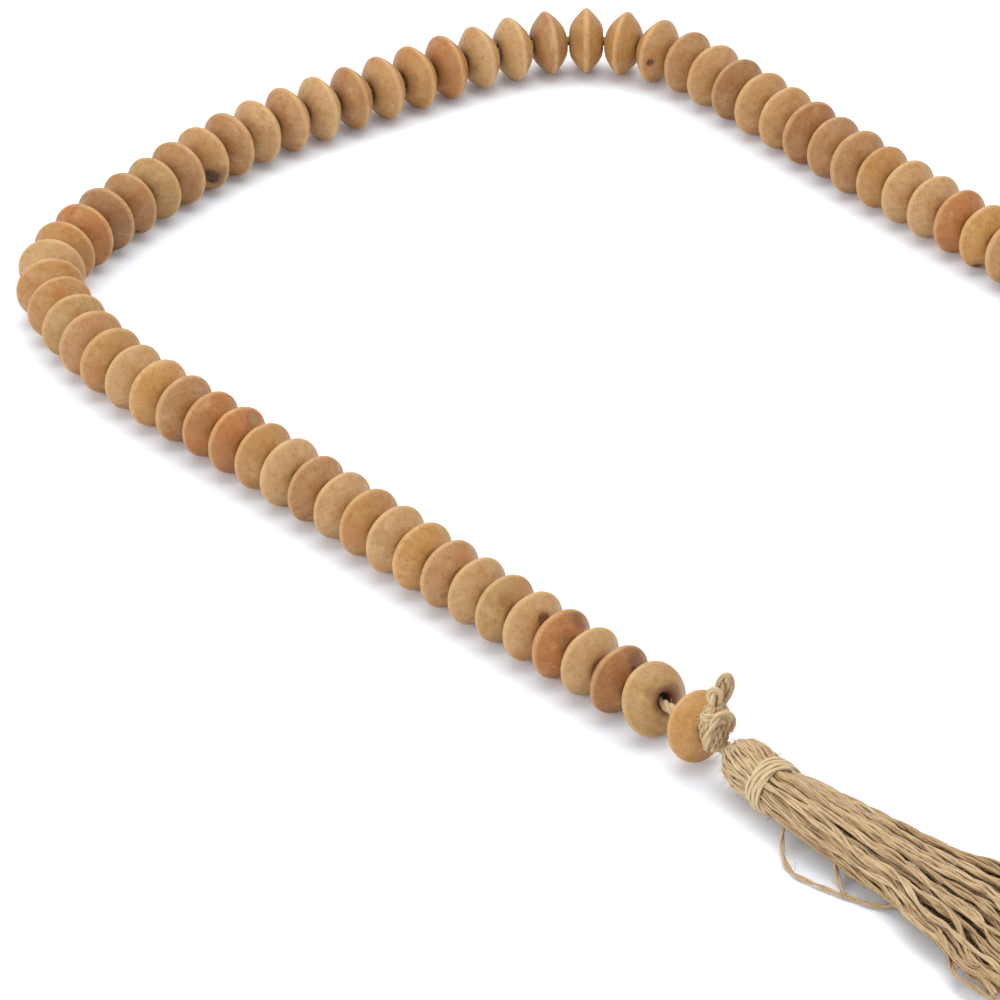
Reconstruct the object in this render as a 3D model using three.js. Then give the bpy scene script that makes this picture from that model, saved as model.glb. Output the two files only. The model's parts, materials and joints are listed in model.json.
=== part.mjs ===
// A string of misbaha prayer beads: turned wooden beads threaded close together on jute twine, lying on
// a table in a long open bend, with a knotted jute tassel at one end and a plain stop knot at the other.
// Millimetres, +Z up. The strand lies on z = 0. The origin is under the middle of its bounding box.
import * as THREE from 'three';

// Beads
const BEAD_COUNT = 66;
const BEAD_RADIUS = 10;
const BEAD_PITCH = 11.78; // bead to bead, measured along the twine
const BEAD_GAP = 1.0; // between two beads at their bores, so that they can tilt on each other
const BORE_RADIUS = 2.4;
const CROWN = { radius: 4.2, drop: 0.5 }; // where the flat ring round the bore turns into the cone
const RIM_LAND = 1.2; // width of the flat band round the rim
const BEAD_SIDES = 12;
const NECK_RADIUS = 3.2; // what joins the two beads of a pair

// Beads that lie on nearly straight stretches are made two to a piece: each entry is the pair's lower number.
const PAIRED = [6, 8, 10, 12, 14, 16, 18, 20, 51, 53, 55, 57, 59, 61, 63, 65];

// The two beads next to the tassel are a little larger, lean back and have slack twine between them.
const LAST_HEADING = -53; // degrees from +X, the way the beads' tassel side faces
const LAST_BEADS = [
  { number: 1, radius: 10.5, lean: 8, middle: [51, -136.8] },
  { number: 2, radius: 10.5, lean: 12, middle: [39.9, -123.2] },
];
const THREADED_FROM = 3; // the beads from here on touch each other

// Twine
const TWINE_RADIUS = 1.4;
const TWINE_STEPS = 80;
const TUBE_SIDES = 8;
const CLEARANCE = 0.3; // between pieces that touch
const WAIST_GAP = 1.5; // between the tassel's head and its skirt, inside the binding

// Tassel knot: an upright bundle of wraps, with a small loop of twine standing out of its top.
const KNOT_SIDES = 10;
const KNOT = { middle: [56.8, -144.6, 14.6], width: 4.4, depth: 3.3, half: 7.3 };
const LOOP = { middle: [58.4, -141.9, 24.9], width: 2.1, depth: 1.5, half: 4.4, lean: 30 };

// Tassel: a pear-shaped head, a wrapped binding round its waist and a skirt that fans out on the table.
const TASSEL_NECK = [59.8, -147.4];
const TASSEL_HEIGHT = 8.5; // of its axis
const HEAD_HEADING = -58;
const SKIRT_HEADING = -46;
const TASSEL_SIDES = 16;
// Stations along the tassel: [distance, half width, half height, lift of the middle].
const HEAD_STATIONS = [
  [0, 2.4, 2.4, 0.6], [2.2, 5.2, 5.2, 0.3], [6.5, 7.4, 7.4, 0], [10, 7.5, 7.5, 0], [13.2, 6.9, 6.9, 0],
  [19.4, 6.7, 6.7, 0],
];
const BINDING = { start: 13.6, end: 19.2, inner: 7.3, outer: 8.4 };
const SKIRT_STATIONS = [
  [0, 6.6, 6.6, 0], [2, 7.6, 7.4, 0], [22, 9.5, 7, -0.9], [45, 12, 6.4, -1.8], [70, 16, 5.8, -2.5],
  [90, 20.5, 5.2, -3.1], [95, 19, 4, -4.2],
];
const LOOSE_YARN_RADIUS = 0.9;
const LOOSE_YARN = [
  [71.4, -181.6, 2.4], [71.8, -187, 1.5], [74, -192.8, 1], [79.4, -198, 1], [88, -204.4, 1], [95.6, -210, 1],
];

// Stop knot at the far end of the twine, and the short tail beyond it.
const STOP_KNOT = { half: 3.6, radius: 4.2 };
const TAIL = [[187.6, 74.3, 9.4], [190.2, 70.9, 7], [191.6, 68.2, 3.4], [193.4, 64.8, 1.6], [196.6, 60.8, 1.6]];

// The middle line of the twine, chosen by hand, from the stop knot to the tassel side of the third bead.
const ROUTE = [
  [182.2, 81.6, 10], [167, 102, 10], [146, 130, 10], [132, 148.5, 10], [111, 176.5, 10], [91.5, 204.5, 10],
  [72, 231.5, 10], [64, 242.5, 10], [55.5, 252.8, 10], [45.3, 260.9, 10], [33, 265.6, 10], [19.5, 265.8, 10],
  [5, 260.9, 10], [-15, 249, 10], [-34, 234.5, 10], [-53.5, 220.5, 10], [-71.5, 205.5, 10],
  [-87, 188, 10], [-101, 168, 10], [-115, 147.5, 10], [-124.5, 130, 10], [-128.8, 117.5, 10],
  [-128.8, 104.5, 10], [-124.2, 91, 10], [-115, 71.5, 10], [-101.5, 50.5, 10], [-79, 24, 10],
  [-50, -11.5, 10], [-21.5, -47.5, 10], [8.5, -85, 10], [34.8, -117, 10],
];
// From there the twine climbs through the two leaning beads to the knot.
const ROUTE_END = [
  [39.9, -123.2, 10.4], [43.5, -128, 10.85], [47.3, -132.4, 10.6], [51, -136.8, 10.5], [54.3, -141.2, 10.7],
];

const radians = THREE.MathUtils.degToRad;
const strand = new THREE.Group();
const layout = new THREE.Group();
strand.add(layout);

function material(colour, roughness) {
  return new THREE.MeshStandardMaterial({ color: colour, roughness, metalness: 0 });
}

const WOOD_TONES = [0xc89b64, 0xd2a86f, 0xbe8a52, 0xc99a5c, 0xd8b482, 0xb87a44];
const TWINE_COLOUR = 0xcbb48a;

function addPiece(name, geometry, pieceMaterial) {
  const mesh = new THREE.Mesh(geometry, pieceMaterial);
  mesh.name = name;
  layout.add(mesh);
  return mesh;
}

// A turned ring whose profile closes on itself. Sizes are taken to the flats, and a flat faces up and down.
function turnedRing(profile, sides) {
  const toCorner = 1 / Math.cos(Math.PI / sides);
  const points = profile.map(([radius, along]) => new THREE.Vector2(radius * toCorner, along));
  points.push(points[0].clone());
  return new THREE.LatheGeometry(points, sides, Math.PI / sides);
}

// Half of a bead's outline, from its bore at one end over the rim to its bore at the other.
function beadOutline(middle, radius) {
  const half = (BEAD_PITCH - BEAD_GAP) / 2;
  const end = half + (radius - BEAD_RADIUS) * 0.5;
  return [
    [BORE_RADIUS, middle - end],
    [CROWN.radius, middle - end + CROWN.drop],
    [radius, middle - RIM_LAND / 2],
    [radius, middle + RIM_LAND / 2],
    [CROWN.radius, middle + end - CROWN.drop],
    [BORE_RADIUS, middle + end],
  ];
}

function singleBead(radius) {
  return turnedRing(beadOutline(0, radius), BEAD_SIDES);
}

// Two beads on one neck. The neck takes the place of the two facing bore edges.
function beadPair() {
  const first = beadOutline(-BEAD_PITCH / 2, BEAD_RADIUS);
  const second = beadOutline(BEAD_PITCH / 2, BEAD_RADIUS);
  first[first.length - 1] = [NECK_RADIUS, -BEAD_GAP / 2];
  second[0] = [NECK_RADIUS, BEAD_GAP / 2];
  return turnedRing([...first, ...second], BEAD_SIDES);
}

// Places a piece made along its own Y axis: that axis points along the given direction, its Z axis up.
function aim(mesh, middle, direction) {
  const along = direction.clone().normalize();
  const side = new THREE.Vector3().crossVectors(along, new THREE.Vector3(0, 0, 1)).normalize();
  const up = new THREE.Vector3().crossVectors(side, along);
  mesh.quaternion.setFromRotationMatrix(new THREE.Matrix4().makeBasis(side, along, up));
  mesh.position.copy(middle);
}

function headingVector(degrees) {
  return new THREE.Vector3(Math.cos(radians(degrees)), Math.sin(radians(degrees)), 0);
}

function tube(points, radius, steps) {
  const corners = [];
  for (let i = 0; i < TUBE_SIDES; i += 1) {
    const angle = (2 * Math.PI * i) / TUBE_SIDES;
    corners.push(new THREE.Vector2(radius * Math.cos(angle), radius * Math.sin(angle)));
  }
  const path = new THREE.CatmullRomCurve3(points.map((point) => new THREE.Vector3(...point)));
  const section = new THREE.Shape(corners);
  return new THREE.ExtrudeGeometry(section, { steps, extrudePath: path, bevelEnabled: false });
}

// A closed solid along Y through oval stations [along, half width, half height, lift of its middle].
function ovalSolid(stations, sides) {
  const unit = stations.map(([along]) => new THREE.Vector2(1, along));
  const first = new THREE.Vector2(0, stations[0][0]);
  const last = new THREE.Vector2(0, stations[stations.length - 1][0]);
  const geometry = new THREE.LatheGeometry([first, ...unit, last], sides, Math.PI / sides);
  const position = geometry.attributes.position;
  const rows = stations.length + 2;
  for (let i = 0; i < position.count; i += 1) {
    const row = THREE.MathUtils.clamp((i % rows) - 1, 0, stations.length - 1);
    const [, width, height, lift] = stations[row];
    position.setX(i, position.getX(i) * width);
    position.setZ(i, position.getZ(i) * height + lift);
  }
  return geometry;
}

// Beads, from the tassel end. Every bead or pair is one link, and its two ends, kept with it, are where the
// string can bend.
function addLink(name, geometry, from, to, tone) {
  const mesh = addPiece(name, geometry, material(WOOD_TONES[tone % WOOD_TONES.length], 0.5));
  const start = new THREE.Vector3(...from);
  const end = new THREE.Vector3(...to);
  aim(mesh, start.clone().add(end).multiplyScalar(0.5), end.clone().sub(start));
  mesh.userData.ends = [start.toArray(), end.toArray()];
}

function numbered(number) {
  return String(number).padStart(2, '0');
}

function addLastBeads() {
  for (const { number, radius, lean, middle } of LAST_BEADS) {
    const tilt = radians(lean);
    const height = radius * Math.cos(tilt) + (RIM_LAND / 2) * Math.sin(tilt);
    const axis = headingVector(LAST_HEADING).multiplyScalar(Math.cos(tilt)).setZ(Math.sin(tilt));
    const centre = new THREE.Vector3(...middle, height);
    const from = centre.clone().addScaledVector(axis, BEAD_PITCH / 2).toArray();
    const to = centre.clone().addScaledVector(axis, -BEAD_PITCH / 2).toArray();
    addLink(`bead_${numbered(number)}`, singleBead(radius), from, to, number);
  }
}

function addThreadedBeads() {
  const route = new THREE.CatmullRomCurve3(ROUTE.map((point) => new THREE.Vector3(...point)));
  route.arcLengthDivisions = 2000;
  const length = route.getLength();
  const linkEnd = (count) => route.getPointAt(1 - (count * BEAD_PITCH) / length).toArray();
  let number = THREADED_FROM;
  while (number <= BEAD_COUNT) {
    const paired = PAIRED.includes(number);
    const beads = paired ? 2 : 1;
    const from = linkEnd(number - THREADED_FROM);
    const to = linkEnd(number - THREADED_FROM + beads);
    const name = paired ? `beads_${numbered(number)}_${numbered(number + 1)}` : `bead_${numbered(number)}`;
    addLink(name, paired ? beadPair() : singleBead(BEAD_RADIUS), from, to, number * 5 + 2);
    number += beads;
  }
}

function addTwine() {
  const twine = material(TWINE_COLOUR, 0.95);
  addPiece('stringing_twine', tube([...ROUTE, ...ROUTE_END], TWINE_RADIUS, TWINE_STEPS), twine);
}

// Stands an oval solid up on its narrow end, turned to face along the given heading and leaning back.
function addUpright(name, { middle, width, depth, half, lean = 0 }, pieceMaterial) {
  const stations = [-0.98, -0.8, -0.4, 0, 0.4, 0.8, 0.98].map((along) => {
    const share = Math.sqrt(1 - along * along);
    return [along * half, width * share, depth * share, 0];
  });
  const mesh = addPiece(name, ovalSolid(stations, KNOT_SIDES), pieceMaterial);
  mesh.rotation.set(radians(90 - lean), 0, radians(90 + LAST_HEADING), 'ZXY');
  mesh.position.set(...middle);
}

function addTassel() {
  const jute = material(TWINE_COLOUR, 0.95);
  addUpright('tassel_knot', KNOT, jute);
  addUpright('knot_loop', LOOP, jute);

  const neck = new THREE.Vector3(...TASSEL_NECK, TASSEL_HEIGHT);
  const headAxis = headingVector(HEAD_HEADING);
  aim(addPiece('tassel_head', ovalSolid(HEAD_STATIONS, TASSEL_SIDES), jute), neck, headAxis);

  const { start, end, inner, outer } = BINDING;
  const edge = 0.8;
  const band = [[inner, start], [outer - edge, start], [outer, start + edge], [outer, end - edge]];
  const ring = turnedRing([...band, [outer - edge, end], [inner, end]], TASSEL_SIDES);
  aim(addPiece('tassel_binding', ring, material(0xd6c4a2, 0.95)), neck, headAxis);

  const headLength = HEAD_STATIONS[HEAD_STATIONS.length - 1][0];
  const waist = neck.clone().addScaledVector(headAxis, headLength + WAIST_GAP);
  const skirt = addPiece('tassel_skirt', ovalSolid(SKIRT_STATIONS, TASSEL_SIDES), jute);
  aim(skirt, waist, headingVector(SKIRT_HEADING));
  addPiece('loose_yarn', tube(LOOSE_YARN, LOOSE_YARN_RADIUS, 14), jute);
}

function addStopKnot() {
  const jute = material(TWINE_COLOUR, 0.95);
  const end = new THREE.Vector3(...ROUTE[0]);
  const direction = end.clone().sub(new THREE.Vector3(...ROUTE[1])).normalize();
  const { half, radius } = STOP_KNOT;
  const stations = [-0.96, -0.5, 0, 0.5, 0.96].map((along) => {
    const size = radius * Math.sqrt(1 - along * along);
    return [along * half, size, size, 0];
  });
  const middle = end.clone().addScaledVector(direction, half + CLEARANCE);
  aim(addPiece('stop_knot', ovalSolid(stations, KNOT_SIDES), jute), middle, direction);
  addPiece('twine_tail', tube(TAIL, TWINE_RADIUS, 8), jute);
}

addLastBeads();
addThreadedBeads();
addTwine();
addTassel();
addStopKnot();

const box = new THREE.Box3().setFromObject(strand, true);
const centre = box.getCenter(new THREE.Vector3());
layout.position.set(-centre.x, -centre.y, -box.min.z);
strand.updateMatrixWorld(true);

export default strand;
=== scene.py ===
"""Prayer beads strung on a jute twine that ends in a knotted jute tassel.

Turned wooden beads, the twine, the knots and the tassel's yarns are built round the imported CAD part.
Lengths in the constants are in millimetres, and the finished meshes are in metres."""
import json
import math
import random

import bpy
from mathutils import Matrix, Vector, noise

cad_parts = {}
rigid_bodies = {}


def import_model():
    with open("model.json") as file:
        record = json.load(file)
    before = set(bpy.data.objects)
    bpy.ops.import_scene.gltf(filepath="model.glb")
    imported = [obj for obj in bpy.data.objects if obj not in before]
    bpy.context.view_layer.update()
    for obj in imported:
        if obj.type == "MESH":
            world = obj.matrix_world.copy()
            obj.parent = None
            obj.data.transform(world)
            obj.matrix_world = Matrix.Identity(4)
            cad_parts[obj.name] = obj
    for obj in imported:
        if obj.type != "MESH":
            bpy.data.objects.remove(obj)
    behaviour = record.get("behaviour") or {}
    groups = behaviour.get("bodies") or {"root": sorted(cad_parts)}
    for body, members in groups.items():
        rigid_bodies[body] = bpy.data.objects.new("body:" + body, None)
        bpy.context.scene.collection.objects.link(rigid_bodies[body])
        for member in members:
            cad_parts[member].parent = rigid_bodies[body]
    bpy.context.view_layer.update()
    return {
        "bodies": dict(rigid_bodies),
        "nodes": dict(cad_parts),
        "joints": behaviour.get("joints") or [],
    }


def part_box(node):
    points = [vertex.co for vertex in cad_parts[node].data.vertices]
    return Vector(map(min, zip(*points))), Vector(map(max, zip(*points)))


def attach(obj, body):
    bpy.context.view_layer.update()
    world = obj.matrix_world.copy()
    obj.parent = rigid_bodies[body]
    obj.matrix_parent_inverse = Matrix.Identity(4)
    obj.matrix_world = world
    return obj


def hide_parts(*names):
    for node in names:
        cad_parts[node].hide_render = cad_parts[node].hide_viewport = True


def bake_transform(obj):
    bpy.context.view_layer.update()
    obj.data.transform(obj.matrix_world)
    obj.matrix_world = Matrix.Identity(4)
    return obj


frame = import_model()

MM = 0.001
TURN = 2 * math.pi
UP = Vector((0, 0, 1))

# The origin of the layout on the table, in the part's frame. The camera looks along +Y, down at it.
LAYOUT_ORIGIN = Vector((-29.6, -14.7, 0))
CAMERA_ELEVATION = 29.51
CAMERA_DISTANCE = 2079
CAMERA_LENS = 273.0

# The lights: place in metres, size in metres, power in watts and colour.
KEY_LIGHT = ((0.05, 0.5, 1.6), 1.6, 24, (1.0, 0.985, 0.96))
FRONT_LIGHT = ((-1.5, -1.5, 0.9), 1.2, 18, (1.0, 0.98, 0.95))
SKY_COLOUR = (0.9, 0.94, 1.0, 1)
SKY_STRENGTH = 0.8
TABLE_COLOUR = (0.88, 0.91, 0.96, 1)
TABLE_HALF_SIDE = 6.0

# The beads. Tilts and leans are in degrees, and spreads are shares of the size.
BEAD_RADIUS = 10.0
BEAD_PITCH = 11.78
BEAD_SIDES = 56
BEAD_TILT = 1.0
WIDTH_SPREAD = (-0.035, 0.004)
THICKNESS_SPREAD = (-0.02, 0.0)
BEAD_UNEVENNESS = 0.035
KNOT_PIT = 0.35
NO_MARK = (0, 0, 400)
EXTRA_LEAN = {1: 4, 2: 9}
LAST_HEADING = -53
HALF_OUTLINE = (
    (2.3, 4.2), (2.4, 4.85), (2.7, 5.22), (3.3, 5.2), (4.0, 5.07), (4.9, 4.78), (6.1, 4.08), (7.3, 3.12),
    (8.4, 2.1), (9.1, 1.38), (9.55, 0.88), (9.86, 0.42), (9.96, 0.0),
)

# The jute. Fuzz is how many loose fibres stand on a square metre of ply.
TWINE_RADIUS = 1.4
TWINE_PLIES = 3
TWINE_LAY = 9
TWINE_SIDES = 8
PLY_SHARE = 0.56
TABLE_GAP = 0.00002
FUZZ = 60000
HEAVY_FUZZ = 90000
SKIRT_FUZZ = 26000
WINDING_FUZZ = 20000
YARN_RADIUS = 0.95
KNOT_MIDDLE = Vector((56.8, -144.6, 14.6))
KNOT_SIZE = Vector((4.4, 3.3, 7.3))
KNOT_SHIFT = (-1.6, -0.7, 0.6)
TASSEL_NECK = Vector((59.8, -147.4, 8.5))
HEAD_HEADING = -58
SKIRT_HEADING = -46
HEAD_LENGTH = 22.4
WAIST_GAP = 1.5
SKIRT_LENGTH = 97
SKIRT_RAGGED = 20
SKIRT_TUCK = 4
SKIRT_HELD = 25
HEAD_STATIONS = (
    (0, 2.4, 2.4, 0.6), (2.2, 5.2, 5.2, 0.3), (6.5, 7.4, 7.4, 0), (10.5, 7.6, 7.6, 0), (15.5, 6.6, 6.6, 0),
    (22.4, 6.3, 6.3, 0),
)
SKIRT_STATIONS = (
    (0, 6.3, 6.3, 0), (2, 7.2, 7.0, 0), (19, 9.3, 7, -0.9), (42, 12.6, 6.4, -1.8), (67, 19, 5.6, -2.6),
    (87, 27, 4.8, -3.4), (98, 28, 4, -4.2),
)
BINDING_START = 16.2
BINDING_LENGTH = 6.4
BINDING_TURNS = 5
LOOSE_YARN = (
    (72.0, -175.5, 5.0), (71.4, -181.6, 2.4), (71.8, -187, 1.5), (74, -192.8, 1),
    (79.4, -198, 1), (88, -204.4, 1), (95.6, -209, 1.4), (99.5, -210.5, 3.4),
)
STRAY_RADIUS = 0.65
NECK_TWINE = ((57.2, -144.8, 9.5), (58.6, -146.4, 8.8), (60.2, -148.4, 8.5), (62.5, -152, 8.5))
CROSSING_YARN = (
    (80.5, -180, 9), (82, -185, 7.4), (83.8, -190, 5), (85, -196, 2.2), (86, -200.5, 0.8),
    (86.8, -202.2, 0.8),
)
SLACK_TWINE = (
    (39.9, -123.2, 10.4), (43.5, -128, 10.85), (47.3, -132.4, 10.6), (51, -136.8, 10.5), (54.3, -141.2, 10.7),
)
TWINE_TAIL = (
    (187.6, 74.3, 9.4), (190.2, 70.9, 7), (191.6, 68.2, 3.4), (193.4, 64.8, 1.6), (196.6, 60.8, 1.6),
)

# Wood colours, and the wood of each bead in turn from the tassel.
WOOD = {
    "pale": (188, 149, 99), "honey": (181, 138, 86), "olive": (176, 140, 87), "tan": (169, 125, 77),
    "ochre": (178, 132, 76), "gold": (188, 141, 80), "pink": (178, 133, 87), "orange": (174, 116, 62),
    "russet": (158, 106, 58), "brown": (155, 112, 67), "umber": (62, 32, 18), "moss": (146, 122, 76),
    "char": (108, 66, 32),
}
BEAD_WOOD = (
    "gold olive russet pale orange pale olive pale pink gold pale ochre pale tan pale ochre "
    "orange orange tan gold pale ochre pink olive ochre ochre pale ochre orange brown tan olive "
    "tan honey tan pale pink pale tan honey ochre orange pale pale tan ochre ochre honey tan "
    "honey brown honey honey russet tan tan ochre pale pale orange gold honey tan pale ochre "
    "olive"
).split()
# Knots and stains: bead, what it is, its colour, the face it is on (1 is towards the tassel), its clock hour
# as that face is looked at, its distance out from the hole as a share of the radius, and its size.
MARKS = (
    (1, "stain", "orange", 1, 6, 0.7, 6), (1, "knot", "char", 1, 5, 0.97, 1.2),
    (2, "stain", "char", 1, 2, 0.3, 4.2), (2, "knot", "brown", 1, 10.5, 0.5, 1.6),
    (3, "stain", "char", 1, 1, 0.62, 4.5), (3, "knot", "umber", 1, 12.4, 0.5, 1.3),
    (5, "stain", "char", 1, 1, 0.8, 4), (5, "knot", "brown", 1, 11, 0.45, 2.6),
    (6, "stain", "orange", 1, 7, 0.75, 4.5), (6, "knot", "char", 1, 12, 0.42, 2.6),
    (7, "knot", "brown", 1, 11, 0.6, 1.8), (7, "stain", "orange", 1, 1, 0.7, 4),
    (8, "stain", "brown", 1, 2, 0.6, 4), (9, "stain", "orange", 1, 0.6, 0.7, 4),
    (9, "knot", "brown", 1, 8, 0.6, 1.2), (11, "knot", "olive", 1, 10, 0.75, 1.8),
    (12, "stain", "orange", 1, 9, 0.8, 5), (14, "knot", "gold", 1, 7, 0.8, 1.6),
    (17, "stain", "russet", 1, 8, 0.65, 8), (17, "knot", "moss", 1, 1, 0.75, 2.2),
    (18, "stain", "russet", 1, 10, 0.7, 5), (26, "knot", "umber", 1, 8, 0.7, 1.4),
    (28, "stain", "orange", 1, 9, 0.6, 4), (31, "knot", "char", 1, 5, 0.85, 1.0),
    (34, "knot", "umber", 1, 3.9, 0.66, 3.4), (34, "stain", "char", 1, 3.7, 0.85, 5),
    (41, "knot", "moss", 1, 2, 0.6, 1.2), (42, "stain", "russet", 1, 2, 0.7, 6),
    (46, "stain", "brown", 1, 2, 0.8, 4), (48, "knot", "umber", -1, 9, 0.8, 1.4),
    (53, "knot", "brown", -1, 8, 0.6, 1.6), (54, "stain", "brown", -1, 9, 0.5, 6),
    (61, "knot", "umber", -1, 7, 0.9, 1.8),
)


def point(place):
    """A place on the layout, in millimetres, as a point in the part's frame, in metres."""
    return (Vector(place) + LAYOUT_ORIGIN) * MM


def heading_vector(degrees):
    """The level unit vector at an angle from +X."""
    return Vector((math.cos(math.radians(degrees)), math.sin(math.radians(degrees)), 0))


def linear(shade):
    """An 0 to 255 display colour as a shader colour."""
    parts = [part / 255 for part in shade]
    return [part / 12.92 if part < 0.04 else ((part + 0.055) / 1.055) ** 2.4 for part in parts] + [1.0]


def between(stations, distance):
    """The station at a distance, read off a list of stations whose first number is the distance."""
    for near, far in zip(stations, stations[1:]):
        if distance <= far[0]:
            break
    share = min(1, max(0, (distance - near[0]) / (far[0] - near[0])))
    ease = share * share * (3 - 2 * share)
    return [a + (b - a) * ease for a, b in zip(near[1:], far[1:])]


def smooth_path(points, steps):
    """A smooth curve through the points, with so many steps between each two."""
    given = [Vector(p) for p in points]
    ends = [2 * given[0] - given[1]] + given + [2 * given[-1] - given[-2]]
    path = []
    for a, b, c, d in zip(ends, ends[1:], ends[2:], ends[3:]):
        for step in range(steps):
            t = step / steps
            path.append(0.5 * (2 * b + (c - a) * t + (2 * a - 5 * b + 4 * c - d) * t**2
                               + (3 * b - a - 3 * c + d) * t**3))
    return path + [given[-1]]


# ---------------------------------------------------------------- node trees


def add(tree, kind, values=None, **settings):
    """Adds a node. The values are put on its inputs, or wired to them, by name or number."""
    node = tree.nodes.new(kind)
    for name, setting in settings.items():
        setattr(node, name, setting)
    for name, value in (values or {}).items():
        socket = node.inputs[name]
        if isinstance(value, bpy.types.NodeSocket):
            tree.links.new(value, socket)
        else:
            socket.default_value = value
    return node


def live(sockets, name="Value"):
    """The socket of that name that is in use, where a node has one for each kind of data."""
    return [socket for socket in sockets if socket.enabled and socket.name in (name, "Attribute")][0]


def maths(tree, operation, *values):
    """A Math node's result."""
    return add(tree, "ShaderNodeMath", dict(enumerate(values)), operation=operation).outputs[0]


def vector_maths(tree, operation, *values):
    """A Vector Math node's result."""
    node = add(tree, "ShaderNodeVectorMath", dict(enumerate(values)), operation=operation)
    return node.outputs["Value" if operation in ("LENGTH", "DOT_PRODUCT") else "Vector"]


def scaled(tree, vector, factor):
    """A vector times a number."""
    return add(tree, "ShaderNodeVectorMath", {0: vector, "Scale": factor}, operation="SCALE").outputs[0]


def new_tree(name, inputs):
    """A Geometry Nodes tree and its named input sockets."""
    tree = bpy.data.node_groups.new(name, "GeometryNodeTree")
    tree.interface.new_socket("Geometry", in_out="INPUT", socket_type="NodeSocketGeometry")
    for label, kind in inputs.items():
        tree.interface.new_socket(label, in_out="INPUT", socket_type="NodeSocket" + kind)
    tree.interface.new_socket("Geometry", in_out="OUTPUT", socket_type="NodeSocketGeometry")
    return tree, tree.nodes.new("NodeGroupInput").outputs


def end_tree(tree, shape, material):
    """Ends a tree in real geometry with its material."""
    real = add(tree, "GeometryNodeRealizeInstances", {"Geometry": shape}).outputs[0]
    painted = add(tree, "GeometryNodeSetMaterial", {"Geometry": real, "Material": material}).outputs[0]
    add(tree, "NodeGroupOutput", {"Geometry": painted})


def keep(tree, shape, name, value, kind="FLOAT_VECTOR", domain="POINT"):
    """Stores a named attribute."""
    node = add(tree, "GeometryNodeStoreNamedAttribute", {"Geometry": shape, "Name": name}, data_type=kind,
               domain=domain)
    tree.links.new(value, live(node.inputs, "Value"))
    return node.outputs[0]


def grow(tree, mesh, inputs):
    """Runs a tree on a mesh and returns the result as a plain mesh."""
    start = bpy.data.objects.new(mesh.name, mesh)
    bpy.context.scene.collection.objects.link(start)
    modifier = start.modifiers.new(tree.name, "NODES")
    modifier.node_group = tree
    for item in tree.interface.items_tree:
        if item.in_out == "INPUT" and item.name in inputs:
            modifier[item.identifier] = inputs[item.name]
    ready = bpy.context.evaluated_depsgraph_get()
    grown = bpy.data.meshes.new_from_object(start.evaluated_get(ready), preserve_all_data_layers=True,
                                            depsgraph=ready)
    bpy.data.objects.remove(start)
    return grown


def joined(name, meshes):
    """Several meshes as one object."""
    parts = []
    for mesh in meshes:
        parts.append(bpy.data.objects.new(name, mesh))
        bpy.context.scene.collection.objects.link(parts[-1])
    if len(parts) > 1:
        with bpy.context.temp_override(active_object=parts[0], selected_editable_objects=parts):
            bpy.ops.object.join()
    parts[0].data.name = name
    return parts[0]


def line_mesh(name, paths, closed=False):
    """A mesh of lines through the points of each path, for a tree to turn into yarn or a bead."""
    mesh = bpy.data.meshes.new(name)
    points = []
    edges = []
    for path in paths:
        first = len(points)
        points += [tuple(p) for p in path]
        edges += [(n, n + 1) for n in range(first, len(points) - 1)]
        if closed:
            edges.append((len(points) - 1, first))
    mesh.from_pydata(points, edges, [])
    return mesh


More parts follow.
